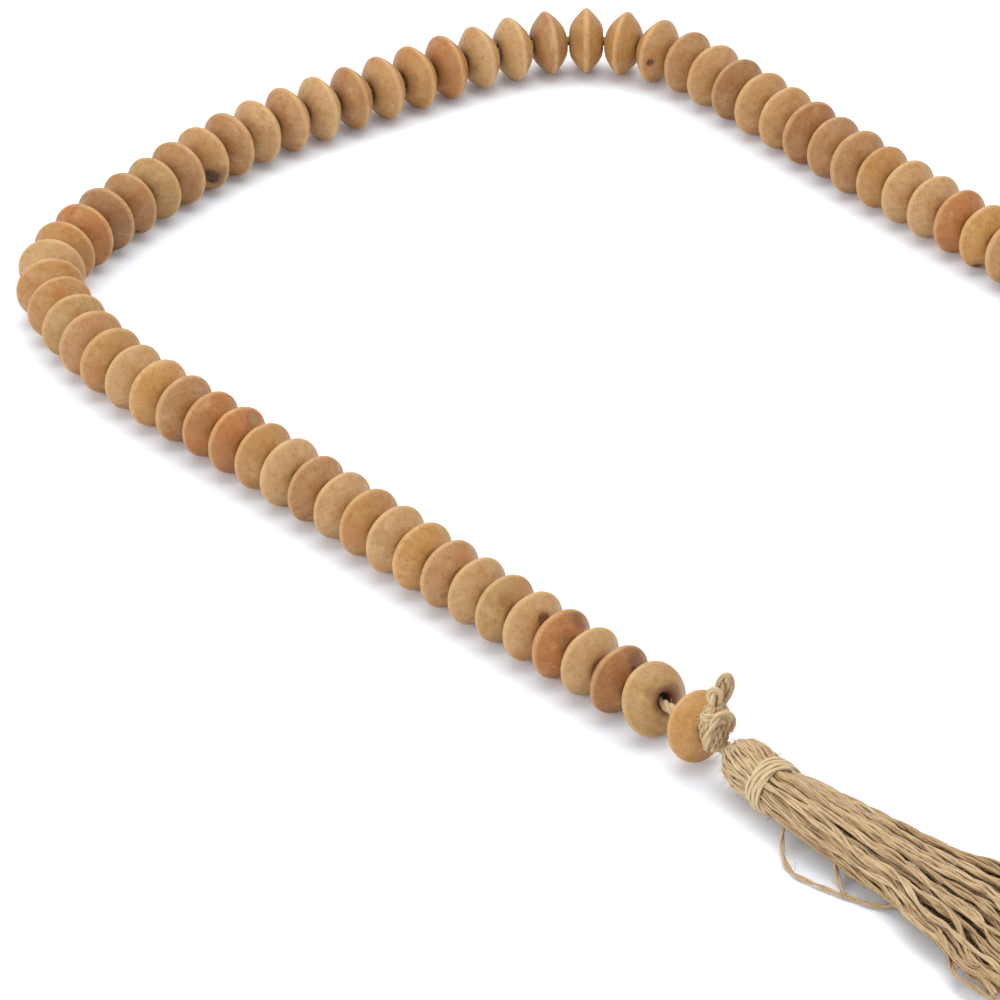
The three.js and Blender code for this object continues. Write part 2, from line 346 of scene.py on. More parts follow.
def bead_tree():
    """Turns a closed outline (x out from the bore, y along it) into one bead, uneven as hand work is."""
    tree, given = new_tree("turned_bead", {
        "Material": "Material", "Sides": "Int", "Middle": "Vector", "Turn": "Vector", "Unevenness": "Float",
        "Grain Turn": "Vector", "Grain Shift": "Vector", "Wood": "Color",
        "Knot Place": "Vector", "Knot Size": "Float", "Knot Colour": "Color", "Knot Pit": "Float",
        "Stain Place": "Vector", "Stain Size": "Float", "Stain Colour": "Color",
    })
    outline = given["Geometry"]
    count = add(tree, "GeometryNodeAttributeDomainSize", {"Geometry": outline}, component="MESH").outputs[0]
    rows = maths(tree, "ADD", count, 1)
    columns = maths(tree, "ADD", given["Sides"], 1)
    sheet = add(tree, "GeometryNodeMeshGrid", {"Vertices X": columns, "Vertices Y": rows}).outputs["Mesh"]
    index = add(tree, "GeometryNodeInputIndex").outputs[0]
    column = maths(tree, "FLOOR", maths(tree, "DIVIDE", maths(tree, "ADD", index, 0.5), rows))
    row = maths(tree, "SUBTRACT", index, maths(tree, "MULTIPLY", column, rows))
    angle = maths(tree, "MULTIPLY", maths(tree, "DIVIDE", column, given["Sides"]), TURN)
    wrapped = maths(tree, "FLOORED_MODULO", row, count)
    sample = add(tree, "GeometryNodeSampleIndex", None, data_type="FLOAT_VECTOR", domain="POINT")
    tree.links.new(outline, sample.inputs["Geometry"])
    tree.links.new(add(tree, "GeometryNodeInputPosition").outputs[0], live(sample.inputs, "Value"))
    tree.links.new(wrapped, sample.inputs["Index"])
    split = add(tree, "ShaderNodeSeparateXYZ", {0: live(sample.outputs)})
    out, along = split.outputs["X"], split.outputs["Y"]
    place = add(tree, "ShaderNodeCombineXYZ", {
        "X": maths(tree, "MULTIPLY", out, maths(tree, "COSINE", angle)),
        "Y": maths(tree, "MULTIPLY", out, maths(tree, "SINE", angle)),
        "Z": along,
    }).outputs[0]
    turned = add(tree, "GeometryNodeSetPosition", {"Geometry": sheet, "Position": place}).outputs[0]
    closed = add(tree, "GeometryNodeMergeByDistance", {"Geometry": turned, "Distance": 0.001}).outputs[0]
    here = add(tree, "GeometryNodeInputPosition").outputs[0]
    marked = keep(tree, closed, "bead_place", here)
    lump = add(tree, "ShaderNodeTexNoise", {
        "Vector": vector_maths(tree, "ADD", here, scaled(tree, given["Grain Shift"], 0.37)),
        "Scale": 0.16, "Detail": 2.0,
    }).outputs[0]
    swing = maths(tree, "MULTIPLY", maths(tree, "SUBTRACT", lump, 0.5), given["Unevenness"])
    lumpy = scaled(tree, here, swing)
    gap = vector_maths(tree, "SUBTRACT", here, given["Knot Place"])
    reach = maths(tree, "DIVIDE", vector_maths(tree, "LENGTH", gap), given["Knot Size"])
    pit = maths(tree, "MAXIMUM", maths(tree, "SUBTRACT", 1, reach), 0)
    inward = maths(tree, "MULTIPLY", given["Knot Pit"], -1)
    depth = maths(tree, "MULTIPLY", maths(tree, "MULTIPLY", pit, pit), inward)
    sunk = scaled(tree, vector_maths(tree, "NORMALIZE", given["Knot Place"]), depth)
    shaped = add(tree, "GeometryNodeSetPosition", {
        "Geometry": marked, "Offset": vector_maths(tree, "ADD", lumpy, sunk)}).outputs[0]
    old = live(add(tree, "GeometryNodeInputNamedAttribute", {"Name": "bead_place"},
                   data_type="FLOAT_VECTOR").outputs)
    rotated = add(tree, "ShaderNodeVectorRotate", {"Vector": old, "Rotation": given["Grain Turn"]},
                  rotation_type="EULER_XYZ").outputs[0]
    grain = vector_maths(tree, "ADD", rotated, given["Grain Shift"])
    shaped = keep(tree, shaped, "grain", grain)
    for kind in ("Knot", "Stain"):
        away = scaled(tree, vector_maths(tree, "SUBTRACT", old, given[kind + " Place"]),
                      maths(tree, "DIVIDE", 1, given[kind + " Size"]))
        shaped = keep(tree, shaped, kind.lower(), away)
        shaped = keep(tree, shaped, kind.lower() + "_colour", given[kind + " Colour"], "FLOAT_COLOR")
    shaped = keep(tree, shaped, "wood", given["Wood"], "FLOAT_COLOR")
    rotation = add(tree, "FunctionNodeEulerToRotation", {0: given["Turn"]}).outputs[0]
    in_metres = add(tree, "GeometryNodeTransform", {"Geometry": shaped, "Scale": (MM, MM, MM)}).outputs[0]
    placed = add(tree, "GeometryNodeTransform", {
        "Geometry": in_metres, "Translation": given["Middle"], "Rotation": rotation}).outputs[0]
    smooth = add(tree, "GeometryNodeSetShadeSmooth", {"Geometry": placed}).outputs[0]
    end_tree(tree, smooth, given["Material"])
    return tree


def yarn_tree():
    """Lays plies round each line, with loose fibres standing off them."""
    tree, given = new_tree("laid_yarn", {
        "Material": "Material", "Step": "Float", "Radius": "Float", "Plies": "Int", "Lay Length": "Float",
        "Sides": "Int", "Unevenness": "Float", "Seed": "Int", "Fibres": "Float", "Fibre Length": "Float",
    })
    curves = add(tree, "GeometryNodeMeshToCurve", {"Mesh": given["Geometry"]}).outputs[0]
    even = add(tree, "GeometryNodeResampleCurve", {"Curve": curves, "Length": given["Step"]},
               mode="LENGTH").outputs[0]
    index = add(tree, "GeometryNodeInputIndex").outputs[0]
    chance = live(add(tree, "FunctionNodeRandomValue", {"ID": index, "Seed": given["Seed"]},
                      data_type="FLOAT").outputs)
    even = keep(tree, even, "strand", chance, "FLOAT", "CURVE")
    doubled = add(tree, "GeometryNodeDuplicateElements", {"Geometry": even, "Amount": given["Plies"]},
                  domain="SPLINE")
    run = add(tree, "GeometryNodeSplineParameter").outputs["Length"]
    strand = live(add(tree, "GeometryNodeInputNamedAttribute", {"Name": "strand"}, data_type="FLOAT").outputs)
    lay = maths(tree, "DIVIDE", run, given["Lay Length"])
    share = maths(tree, "DIVIDE", doubled.outputs["Duplicate Index"], given["Plies"])
    angle = maths(tree, "MULTIPLY", maths(tree, "ADD", maths(tree, "ADD", lay, share), strand), TURN)
    normal = add(tree, "GeometryNodeInputNormal").outputs[0]
    tangent = add(tree, "GeometryNodeInputTangent").outputs[0]
    side = vector_maths(tree, "CROSS_PRODUCT", tangent, normal)
    spread = vector_maths(tree, "ADD", scaled(tree, normal, maths(tree, "COSINE", angle)),
                          scaled(tree, side, maths(tree, "SINE", angle)))
    offset = scaled(tree, spread, maths(tree, "MULTIPLY", given["Radius"], 0.5))
    moved = keep(tree, doubled.outputs["Geometry"], "run", run, "FLOAT")
    plies = add(tree, "GeometryNodeSetPosition", {"Geometry": moved, "Offset": offset}).outputs[0]
    spot = add(tree, "ShaderNodeCombineXYZ", {
        "X": maths(tree, "MULTIPLY", run, 1000), "Y": maths(tree, "MULTIPLY", strand, 400),
        "Z": maths(tree, "MULTIPLY", doubled.outputs["Duplicate Index"], 30)}).outputs[0]
    swell = add(tree, "ShaderNodeTexNoise", {"Vector": spot, "Scale": 0.35, "Detail": 2.0}).outputs[0]
    swell = maths(tree, "MULTIPLY", maths(tree, "SUBTRACT", swell, 0.5), given["Unevenness"])
    thickness = maths(tree, "MULTIPLY", given["Radius"], maths(tree, "ADD", swell, PLY_SHARE))
    circle = add(tree, "GeometryNodeCurvePrimitiveCircle", {
        "Resolution": given["Sides"], "Radius": 1.0}).outputs[0]
    circle = keep(tree, circle, "ring", add(tree, "GeometryNodeInputPosition").outputs[0])
    tubes = add(tree, "GeometryNodeCurveToMesh", {
        "Curve": plies, "Profile Curve": circle, "Scale": thickness, "Fill Caps": True})
    tubes = add(tree, "GeometryNodeSetShadeSmooth", {"Geometry": tubes.outputs[0]}).outputs[0]
    hair = add(tree, "GeometryNodeCurveQuadraticBezier", {
        "Resolution": 4, "Start": (0, 0, -0.0001), "Middle": (0.45, 0, 0.12),
        "End": (0.8, 0.3, 0.42)}).outputs[0]
    hair = add(tree, "GeometryNodeSetPosition", {
        "Geometry": hair, "Position": scaled(tree, add(tree, "GeometryNodeInputPosition").outputs[0],
                                             given["Fibre Length"])}).outputs[0]
    thin = add(tree, "GeometryNodeCurvePrimitiveCircle", {"Resolution": 3, "Radius": 0.00006}).outputs[0]
    hair = add(tree, "GeometryNodeCurveToMesh", {
        "Curve": hair, "Profile Curve": thin, "Fill Caps": True}).outputs[0]
    roots = add(tree, "GeometryNodeDistributePointsOnFaces", {
        "Mesh": tubes, "Density": given["Fibres"], "Seed": given["Seed"]})
    spin = live(add(tree, "FunctionNodeRandomValue", {"Seed": given["Seed"]}, data_type="FLOAT").outputs)
    local_turn = add(tree, "FunctionNodeAxisAngleToRotation", {
        "Axis": (0, 0, 1), "Angle": maths(tree, "MULTIPLY", spin, TURN)}).outputs[0]
    facing = add(tree, "FunctionNodeRotateRotation", {
        "Rotation": roots.outputs["Rotation"], "Rotate By": local_turn}, rotation_space="LOCAL").outputs[0]
    size = maths(tree, "ADD", maths(tree, "MULTIPLY", spin, 0.9), 0.4)
    hairs = add(tree, "GeometryNodeInstanceOnPoints", {
        "Points": roots.outputs["Points"], "Instance": hair, "Rotation": facing, "Scale": size}).outputs[0]
    both = add(tree, "GeometryNodeJoinGeometry")
    tree.links.new(hairs, both.inputs[0])
    tree.links.new(tubes, both.inputs[0])
    real = add(tree, "GeometryNodeRealizeInstances", {"Geometry": both.outputs[0]}).outputs[0]
    here = add(tree, "GeometryNodeInputPosition").outputs[0]
    above = vector_maths(tree, "MAXIMUM", here, (-1, -1, TABLE_GAP))
    laid = add(tree, "GeometryNodeSetPosition", {"Geometry": real, "Position": above}).outputs[0]
    end_tree(tree, laid, given["Material"])
    return tree


# ---------------------------------------------------------------- materials


def new_material(name):
    """A material with its shader and a place to add nodes."""
    material = bpy.data.materials.new(name)
    material.use_nodes = True
    return material, material.node_tree, material.node_tree.nodes["Principled BSDF"]


def attribute(tree, name, output="Vector"):
    """A mesh attribute's value."""
    return add(tree, "ShaderNodeAttribute", None, attribute_name=name).outputs[output]


def noise_value(tree, vector, scale, detail=3.0, roughness=0.5, distortion=0.0):
    """Smooth noise from 0 to 1."""
    return add(tree, "ShaderNodeTexNoise", {"Vector": vector, "Scale": scale, "Detail": detail,
                                            "Roughness": roughness, "Distortion": distortion}).outputs[0]


def ramp(tree, value, low, high, to_low=0.0, to_high=1.0):
    """A value taken smoothly from one range to another."""
    node = add(tree, "ShaderNodeMapRange", {
        "Value": value, "From Min": low, "From Max": high, "To Min": to_low, "To Max": to_high,
    }, interpolation_type="SMOOTHSTEP")
    return node.outputs[0]


def mix(tree, amount, first, second, blend="MIX"):
    """Two colours mixed."""
    node = add(tree, "ShaderNodeMix", {0: amount, 6: first, 7: second}, data_type="RGBA", blend_type=blend)
    return node.outputs[2]


def stretched(tree, vector, scale):
    """A vector with each part scaled."""
    return vector_maths(tree, "MULTIPLY", vector, scale)


def wood_material():
    """Oiled hand-turned wood: growth rings, fibre streaks, pores, knots, stains, painted shade round the bore
    that is partly a stain, and a painted highlight along the rim.
    """
    material, tree, shader = new_material("bead_wood")
    grain = attribute(tree, "grain")
    place = attribute(tree, "bead_place")
    colour = attribute(tree, "wood", "Color")
    warp = add(tree, "ShaderNodeTexNoise", {"Vector": grain, "Scale": 0.09, "Detail": 2.0}).outputs["Color"]
    bent = vector_maths(tree, "ADD", grain, scaled(tree, warp, 3.0))
    across = vector_maths(tree, "LENGTH", stretched(tree, bent, (1, 1, 0)))
    ring = ramp(tree, maths(tree, "SINE", maths(tree, "MULTIPLY", across, 2.2)), -0.4, 1.0)
    streak = noise_value(tree, stretched(tree, bent, (1, 1, 0.16)), 1.3, 4.0, 0.6)
    fine = noise_value(tree, stretched(tree, grain, (1, 1, 0.12)), 3.4, 5.0, 0.7)
    cloud = noise_value(tree, grain, 0.16, 4.0, 0.6, 0.6)
    mottle = noise_value(tree, grain, 0.55, 3.0, 0.6, 0.3)
    pore = ramp(tree, noise_value(tree, stretched(tree, grain, (1, 1, 0.25)), 6.0, 2.0, 0.5), 0.64, 0.76)
    dark = mix(tree, 1.0, colour, linear((208, 184, 160)), "MULTIPLY")
    warm = mix(tree, 1.0, colour, linear((246, 216, 180)), "MULTIPLY")
    pale = mix(tree, 0.4, colour, linear((216, 182, 132)))
    tone = mix(tree, ramp(tree, cloud, 0.5, 0.76, 0, 0.95), colour, warm)
    tone = mix(tree, ramp(tree, cloud, 0.48, 0.26, 0, 0.8), tone, pale)
    tone = mix(tree, ramp(tree, mottle, 0.46, 0.75, 0, 0.55), tone, dark)
    tone = mix(tree, maths(tree, "MULTIPLY", ring, 0.1), tone, dark)
    tone = mix(tree, ramp(tree, streak, 0.5, 0.82, 0, 0.5), tone, dark)
    tone = mix(tree, ramp(tree, fine, 0.46, 0.74, 0, 0.75), tone, dark)
    tone = mix(tree, maths(tree, "MULTIPLY", pore, 0.3), tone, linear((126, 82, 46)))
    ragged = scaled(tree, vector_maths(tree, "SUBTRACT", add(tree, "ShaderNodeTexNoise", {
        "Vector": grain, "Scale": 0.45, "Detail": 3.0}).outputs["Color"], (0.5, 0.5, 0.5)), 1.1)
    stain = vector_maths(tree, "LENGTH", vector_maths(tree, "ADD", attribute(tree, "stain"), ragged))
    stained = mix(tree, 0.82, tone, attribute(tree, "stain_colour", "Color"))
    tone = mix(tree, ramp(tree, stain, 1.15, 0.35, 0, 0.8), tone, stained)
    ragged = scaled(tree, ragged, 0.5)
    knot = vector_maths(tree, "LENGTH", vector_maths(tree, "ADD", attribute(tree, "knot"), ragged))
    swirl = ramp(tree, noise_value(tree, grain, 1.4, 3.0, 0.6), 0.3, 0.6, 0.5, 1)
    tone = mix(tree, maths(tree, "MULTIPLY", ramp(tree, knot, 1.5, 0.9, 0, 0.45), swirl), tone, dark)
    tone = mix(tree, maths(tree, "MULTIPLY", ramp(tree, knot, 1.0, 0.62), swirl), tone,
               attribute(tree, "knot_colour", "Color"))
    from_bore = vector_maths(tree, "LENGTH", stretched(tree, place, (1, 1, 0)))
    # Darker towards the bore: painted shade in the hole's mouth and where the crowns of neighbouring beads
    # touch, with a stain round the hole.
    bore_stain_and_shade = ramp(tree, maths(tree, "ADD", from_bore, maths(tree, "MULTIPLY", cloud, 3)), 6.2, 3.9, 0, 0.85)
    tone = mix(tree, bore_stain_and_shade, tone, linear((98, 52, 30)))
    # Painted highlight: the outer edge of each bead is made paler all round, in streaks, where light catches
    # the rim.
    painted_rim_highlight = maths(tree, "MULTIPLY", ramp(tree, from_bore, 9.1, 9.8), ramp(tree, streak, 0.3, 0.6, 0.15, 0.45))
    tone = mix(tree, painted_rim_highlight, tone, linear((210, 170, 114)))
    tree.links.new(tone, shader.inputs["Base Color"])
    dryness = maths(tree, "ADD", maths(tree, "MULTIPLY", fine, 0.6), maths(tree, "MULTIPLY", cloud, 0.4))
    tree.links.new(ramp(tree, dryness, 0.25, 0.75, 0.42, 0.6), shader.inputs["Roughness"])
    hollows = maths(tree, "ADD", maths(tree, "MULTIPLY", pore, 0.6), maths(tree, "MULTIPLY", fine, -0.3))
    height = maths(tree, "SUBTRACT", maths(tree, "MULTIPLY", streak, 0.5), hollows)
    bump = add(tree, "ShaderNodeBump", {"Strength": 0.35, "Distance": 0.0002, "Height": height})
    tree.links.new(bump.outputs[0], shader.inputs["Normal"])
    shader.inputs["Specular IOR Level"].default_value = 0.4
    shader.inputs["Coat Weight"].default_value = 0.06
    shader.inputs["Coat Roughness"].default_value = 0.35
    return material


def jute_material(name, light, deep, contrast):
    """Jute: long dry fibres that run with the ply, each ply its own shade."""
    material, tree, shader = new_material(name)
    ring = attribute(tree, "ring")
    run = maths(tree, "MULTIPLY", attribute(tree, "run", "Fac"), 1000)
    strand = attribute(tree, "strand", "Fac")
    along = add(tree, "ShaderNodeCombineXYZ", {"X": 0.0, "Y": 0.0, "Z": run}).outputs[0]
    own_place = add(tree, "ShaderNodeCombineXYZ", {"X": strand, "Y": 0.3, "Z": strand}).outputs[0]
    fibre = vector_maths(tree, "ADD", vector_maths(tree, "ADD", ring, along), scaled(tree, own_place, 70.0))
    here = add(tree, "ShaderNodeTexCoord").outputs["Object"]
    thread = noise_value(tree, stretched(tree, fibre, (1, 1, 0.12)), 2.6, 4.0, 0.65)
    fleck = noise_value(tree, stretched(tree, fibre, (1, 1, 0.3)), 1.2, 2.0, 0.5)
    cloud = noise_value(tree, here, 90.0, 3.0, 0.55)
    tone = mix(tree, ramp(tree, strand, 0.0, 1.0, 0.0, 0.75), linear(light), linear(deep))
    tone = mix(tree, ramp(tree, cloud, 0.4, 0.7, 0, 0.5), tone, linear(deep))
    shade = mix(tree, 1.0, tone, linear((176, 148, 112)), "MULTIPLY")
    tone = mix(tree, ramp(tree, thread, 0.46, 0.75, 0, contrast), tone, shade)
    tone = mix(tree, ramp(tree, fleck, 0.6, 0.75, 0, 0.5 * contrast), tone, linear((120, 84, 48)))
    tone = mix(tree, ramp(tree, thread, 0.42, 0.2, 0, 0.5), tone, linear((238, 222, 186)))
    tree.links.new(tone, shader.inputs["Base Color"])
    shader.inputs["Roughness"].default_value = 0.82
    shader.inputs["Specular IOR Level"].default_value = 0.25
    shader.inputs["Sheen Weight"].default_value = 0.25
    shader.inputs["Sheen Roughness"].default_value = 0.5
    bump = add(tree, "ShaderNodeBump", {"Strength": 0.6, "Distance": 0.0003, "Height": thread})
    tree.links.new(bump.outputs[0], shader.inputs["Normal"])
    return material


# ---------------------------------------------------------------- camera, floor and light


def add_camera():
    """The camera, at the layout's middle, from the front and above."""
    scene = bpy.context.scene
    camera = bpy.data.objects.new("camera", bpy.data.cameras.new("camera"))
    scene.collection.objects.link(camera)
    angle = math.radians(CAMERA_ELEVATION)
    away = Vector((0, -math.cos(angle), math.sin(angle))) * CAMERA_DISTANCE
    camera.location = (LAYOUT_ORIGIN + away) * MM
    camera.rotation_euler = (math.pi / 2 - angle, 0, 0)
    camera.data.lens = CAMERA_LENS
    camera.data.sensor_width = 36
    camera.data.clip_end = 20
    scene.camera = camera


def add_light(name, place, size, power, shade):
    """A square soft light at a place in metres, aimed at the layout's middle."""
    light = bpy.data.objects.new(name, bpy.data.lights.new(name, "AREA"))
    bpy.context.scene.collection.objects.link(light)
    light.location = place
    light.rotation_euler = (LAYOUT_ORIGIN * MM - Vector(place)).to_track_quat("-Z", "Y").to_euler()
    light.data.size = size
    light.data.energy = power
    light.data.color = shade


def add_studio():
    """A plain white table, a key light above and behind, one from the front left, and an even sky."""
    scene = bpy.context.scene
    floor = bpy.data.objects.new("table", bpy.data.meshes.new("table"))
    half = TABLE_HALF_SIDE
    floor.data.from_pydata([(-half, -half, 0), (half, -half, 0), (half, half, 0), (-half, half, 0)], [],
                           [(0, 1, 2, 3)])
    scene.collection.objects.link(floor)
    material, _, shader = new_material("white_table")
    shader.inputs["Base Color"].default_value = TABLE_COLOUR
    shader.inputs["Roughness"].default_value = 0.9
    floor.data.materials.append(material)
    world = bpy.data.worlds.new("studio")
    world.use_nodes = True
    world.node_tree.nodes["Background"].inputs["Color"].default_value = SKY_COLOUR
    world.node_tree.nodes["Background"].inputs["Strength"].default_value = SKY_STRENGTH
    scene.world = world
    add_light("key_light", *KEY_LIGHT)
    add_light("front_light", *FRONT_LIGHT)
    scene.view_settings.view_transform = "Standard"


# ---------------------------------------------------------------- beads and twine


def link_names():
    """The beads' bodies in order from the tassel, each with the numbers of its beads."""
    links = []
    for body in frame["bodies"]:
        if body.startswith("bead"):
            links.append((body, [int(part) for part in body.split("_")[1:]]))
    return sorted(links, key=lambda link: link[1])


def hinges():
    """Each hinge's place in the row frame, by the pair of bodies that it joins."""
    return {frozenset((j["parent"], j["child"])): Vector(j["pos_m"])
            for j in frame["joints"] if j["type"] == "hinge"}


def bead_axes(bore, lean):
    """A bead's turn: its bore along the given direction, and its top leaning back by lean degrees more."""
    across = UP.cross(bore).normalized()
    bore = Matrix.Rotation(math.radians(-lean), 3, across) @ bore.normalized()
    return Matrix((across, bore.cross(across), bore)).transposed()


def thin_direction(node):
    """The direction in which a CAD bead is thinnest, which is along its bore."""
    corners = [Vector(v.co) for v in frame["nodes"][node].data.vertices]
    middle = sum(corners, Vector()) / len(corners)
    level = heading_vector(LAST_HEADING)
    best = None
    for lean in range(0, 40):
        bore = (level * math.cos(math.radians(lean)) + UP * math.sin(math.radians(lean))).normalized()
        thickness = max(abs((corner - middle).dot(bore)) for corner in corners)
        if best is None or thickness < best[0]:
            best = (thickness, bore)
    return best[1]


def mark_inputs(number, kind):
    """A knot's or stain's place on its bead, its size and its colour."""
    found = [mark for mark in MARKS if mark[0] == number and mark[1] == kind]
    label = kind.capitalize()
    if not found:
        return {label + " Place": NO_MARK, label + " Size": 1.0, label + " Colour": linear(WOOD["tan"])}
    _, _, colour, face, hour, share, size = found[0]
    out = share * BEAD_RADIUS
    pairs = list(zip(HALF_OUTLINE, HALF_OUTLINE[1:]))
    height = next((a[1] + (b[1] - a[1]) * (out - a[0]) / (b[0] - a[0]) for a, b in pairs if out <= b[0]), 0)
    angle = math.radians(30 * hour)
    place = (face * math.sin(angle) * out, math.cos(angle) * out, face * height)
    return {label + " Place": place, label + " Size": float(size), label + " Colour": linear(WOOD[colour])}


def bead_mesh(tree, number, middle, heading, material):
    """One bead, with its own size, tilt, wood, knots and stains."""
    chance = random.Random(number)
    width = 1 + chance.uniform(*WIDTH_SPREAD)
    thick = 1 + chance.uniform(*THICKNESS_SPREAD)
    steps = 2
    half = smooth_path([(out, high, 0) for out, high in HALF_OUTLINE], steps)
    outline = [(p.x * (width if p.x > 4 else 1), p.y * thick, 0) for p in half]
    outline += [(x, -y, 0) for x, y, _ in reversed(outline[:-1])]
    lean = EXTRA_LEAN.get(number, 0) + chance.uniform(-BEAD_TILT, BEAD_TILT)
    turn = Matrix.Rotation(math.radians(chance.uniform(-BEAD_TILT, BEAD_TILT)), 3, "Z")
    axes = turn @ bead_axes(heading, lean)
    inputs = {
        "Material": material, "Sides": BEAD_SIDES, "Middle": middle, "Turn": axes.to_euler(),
        "Unevenness": BEAD_UNEVENNESS,
        "Grain Turn": [chance.uniform(-1, 1) + turned for turned in (1.4, 0.2, 0)],
        "Grain Shift": [chance.uniform(-60, 60) for _ in range(2)] + [chance.uniform(-500, 500)],
        "Wood": linear(WOOD[BEAD_WOOD[number - 1]]), "Knot Pit": KNOT_PIT,
    }
    inputs.update(mark_inputs(number, "knot"))
    inputs.update(mark_inputs(number, "stain"))
    return grow(tree, line_mesh("bead", [outline]), inputs)


def yarn_mesh(tree, name, paths, material, radius=YARN_RADIUS, plies=2, lay=7.0, sides=6, uneven=0.3, seed=1,
              fibres=0.0, fibre=2.5, step=1.0):
    """Laid yarn along each path, whose points are in metres."""
    return grow(tree, line_mesh(name, paths), {
        "Material": material, "Step": step * MM, "Radius": radius * MM, "Plies": plies,
        "Lay Length": lay * MM, "Sides": sides, "Unevenness": uneven, "Seed": seed, "Fibres": fibres,
        "Fibre Length": fibre * MM})


def twine_mesh(tree, name, path, material, radius=TWINE_RADIUS, lay=TWINE_LAY, **looks):
    """Three-ply twine along one path, whose points are in metres."""
    return yarn_mesh(tree, name, [path], material, radius, TWINE_PLIES, lay, TWINE_SIDES, **looks)


def curve_through(places, steps=8):
    """A smooth line of points in metres through places on the layout."""
    return [point(place) for place in smooth_path(places, steps)]


def finished(piece, slot, *nodes):
    """Returns the piece, with the CAD nodes that it stands for hidden. The slot is not used."""
    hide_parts(*nodes)
    return piece


def add_beads_and_twine(beads, yarns, wood, jute):
    """Every bead and every length of twine from bead to bead."""
    links = link_names()
    pins = hinges()
    middles = {}
    for body, _ in links:
        low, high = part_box(body)
        middles[body] = (low + high) / 2
    for place, (body, numbers) in enumerate(links):
        ends = []
        for other in (place - 1, place + 1):
            if 0 <= other < len(links):
                ends.append(pins.get(frozenset((body, links[other][0])), middles[links[other][0]]))
            else:
                ends.append(middles[body])
        heading = (ends[0] - ends[1]).normalized()
        if numbers[0] in EXTRA_LEAN:
            heading = thin_direction(body)
        meshes = []
        for number in numbers:
            shift = (sum(numbers) / len(numbers) - number) * BEAD_PITCH * MM
            meshes.append(bead_mesh(beads, number, middles[body] + heading * shift, heading, wood))
        piece = joined("turned_" + body, meshes)
        finished(piece, "bead_wood", body)
        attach(piece, body)
    for (near, near_numbers), (far, far_numbers) in zip(links[1:], links[2:]):
        pin = pins[frozenset((near, far))]
        a, b = middles[near], middles[far]
        steps = 12
        path = []
        for step in range(steps + 1):
            t = step / steps
            path.append(a * (1 - t) ** 2 + pin * 2 * t * (1 - t) + b * t**2)
        mesh = twine_mesh(yarns, "twine", path, jute, seed=near_numbers[0])
        piece = joined(f"twine_{near_numbers[-1]:02d}_{far_numbers[0]:02d}", [mesh])
        finished(piece, "jute_twine", "stringing_twine")
        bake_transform(piece)
    return middles


# ---------------------------------------------------------------- tassel


def along_stations(start, heading, stations, distance, around, share):
    """A point in the tassel: how far along it, the angle round it, and the share of the way out."""
    half_width, half_height, lift = between(stations, distance)
    forward = heading_vector(heading)
    side = UP.cross(forward)
    return (start + forward * distance + side * (half_width * share * math.cos(around))
            + UP * (lift + half_height * share * math.sin(around)))


def head_paths(count, inset):
    """Yarns that fold over at the neck and run down the head to the binding."""
    chance = random.Random(5)
    paths = []
    for number in range(count):
        start = TURN * number / count + chance.uniform(-0.06, 0.06)
        drift = chance.uniform(-0.5, 0.5)
        deep = 1 - inset - chance.uniform(0, 0.09)
        path = []
        steps = 24
        for step in range(steps + 1):
            distance = HEAD_LENGTH * 0.94 * step / steps
            wander = 0.05 * noise.noise(Vector((number * 3.1, distance * 0.25, 0)))
            around = start + drift * (distance / HEAD_LENGTH - 0.4) + wander
            path.append(point(along_stations(TASSEL_NECK, HEAD_HEADING, HEAD_STATIONS, distance, around,
                                             deep)))
        paths.append(path)
    return paths


def skirt_paths(count, seed):
    """Yarns that leave the binding and spread over the table in a flat fan."""
    chance = random.Random(seed)
    start = TASSEL_NECK + heading_vector(HEAD_HEADING) * (HEAD_LENGTH + WAIST_GAP)
    paths = []
    for number in range(count):
        inner = number % 3 == 0
        around = TURN * number / count + chance.uniform(-0.1, 0.1)
        share = chance.uniform(0.3, 0.7) if inner else chance.uniform(0.78, 0.95)
        end = SKIRT_LENGTH - chance.uniform(0, 1) ** 2 * SKIRT_RAGGED
        waves = chance.uniform(0.5, 1.5)
        path = []
        steps = 48
        for step in range(steps + 1):
            distance = -SKIRT_TUCK + (end + SKIRT_TUCK) * step / steps
            free = min(1, max(0, distance / SKIRT_HELD))
            shake = Vector((distance * 0.04, number * 7.3 + seed, 0))
            drift = 0.36 * noise.noise(shake) * free * waves
            spread = share + 0.16 * noise.noise(shake + Vector((0, 0, 9))) * free
            spot = along_stations(start, SKIRT_HEADING, SKIRT_STATIONS, max(distance, 0), around + drift,
                                  min(spread, 0.97))
            if distance < 0:
                spot += heading_vector(HEAD_HEADING) * distance
            kink = Vector((distance * 0.16, number * 3.7 + seed, 5))
            spot += Vector((noise.noise(kink), noise.noise(kink + Vector((0, 9, 0))), 0)) * 0.5 * free
            spot.z = max(spot.z, YARN_RADIUS + 0.1)
            path.append(point(spot))
        paths.append(path)
    return paths


def binding_path():
    """The winding that holds the yarns together below the head."""
    path = []
    steps = 40 * BINDING_TURNS
    for step in range(steps + 1):
        share = step / steps
        distance = BINDING_START + 0.7 + (BINDING_LENGTH - 1.4) * share
        around = TURN * BINDING_TURNS * share
        half_width, half_height, lift = between(HEAD_STATIONS, distance)
        forward = heading_vector(HEAD_HEADING)
        out = half_width + 0.3
        path.append(point(TASSEL_NECK + forward * distance + UP.cross(forward) * out * math.cos(around)
                          + UP * (out * math.sin(around) + lift)))
    return path


def knot_point(side, out, up):
    """A point by the knot: to its side, away from the first bead, and up, from the knot's shifted middle."""
    forward = heading_vector(HEAD_HEADING)
    side, out, up = (part + shift for part, shift in zip((side, out, up), KNOT_SHIFT))
    return KNOT_MIDDLE + UP.cross(forward) * side + forward * out + UP * up


